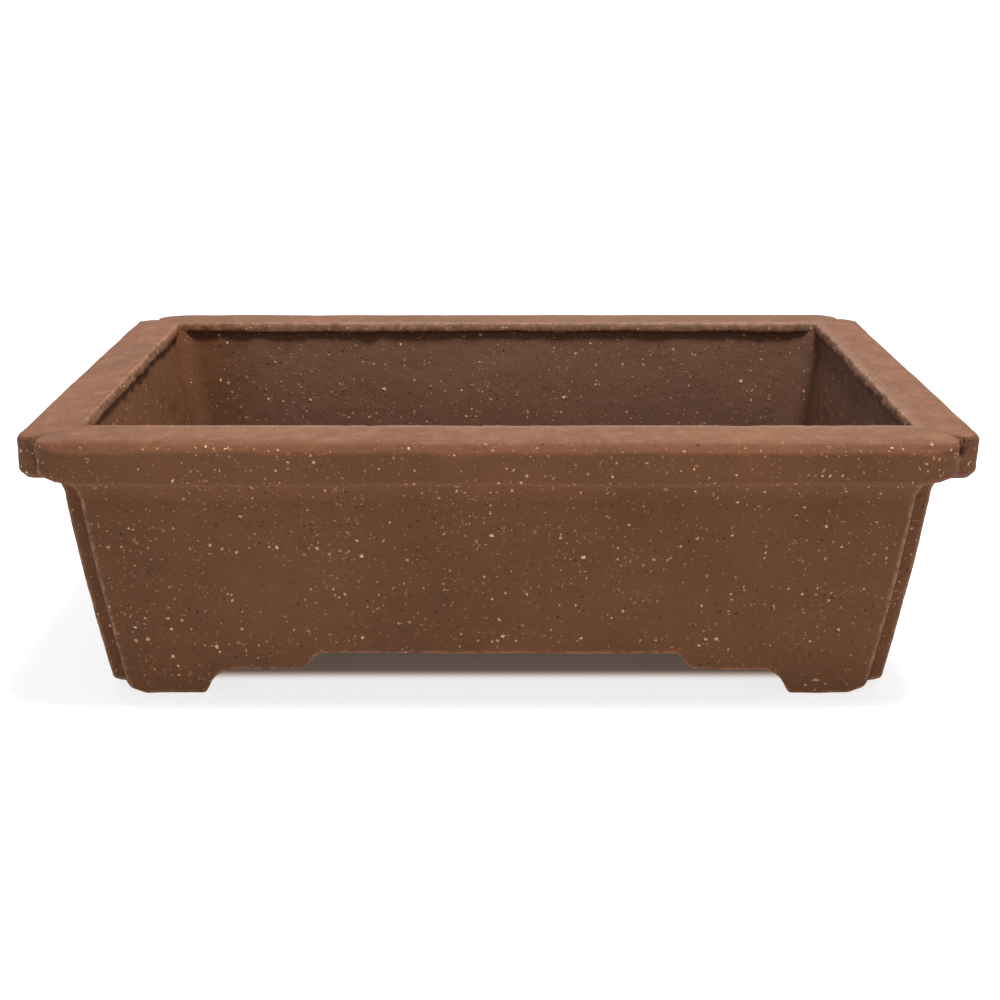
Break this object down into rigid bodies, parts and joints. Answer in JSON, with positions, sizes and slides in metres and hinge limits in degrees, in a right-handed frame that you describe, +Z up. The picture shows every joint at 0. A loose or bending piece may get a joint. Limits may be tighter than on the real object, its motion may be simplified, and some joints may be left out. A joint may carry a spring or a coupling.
{
  "type": "rectangular bonsai pot",
  "caption": "Shallow rectangular planting pot with indented corners, flared walls, a wide flat rim, drain holes and an apron cut away between corner feet.",
  "frame": {"origin": "middle of the plane that the four feet stand on, below the centre of the pot", "axes": "+X along the pot's long side to its right end, +Y from the front wall to the back wall, +Z up"},
  "size_m": [0.18, 0.115, 0.056],
  "materials": {
    "wall_clay": "unglazed brown grogged stoneware, matt and slightly rough",
    "post_clay": "unglazed brown grogged stoneware, matt",
    "rim_clay": "unglazed brown grogged stoneware, smoothed by hand",
    "floor_clay": "unglazed brown grogged stoneware, rough"
  },
  "bodies": {
    "root": {"floor_slab": "floor_clay", "front_wall": "wall_clay", "back_wall": "wall_clay", "left_wall": "wall_clay", "right_wall": "wall_clay", "front_left_post": "post_clay", "front_right_post": "post_clay", "back_left_post": "post_clay", "back_right_post": "post_clay", "front_rim": "rim_clay", "back_rim": "rim_clay", "left_rim": "rim_clay", "right_rim": "rim_clay"}
  },
  "joints": []
}
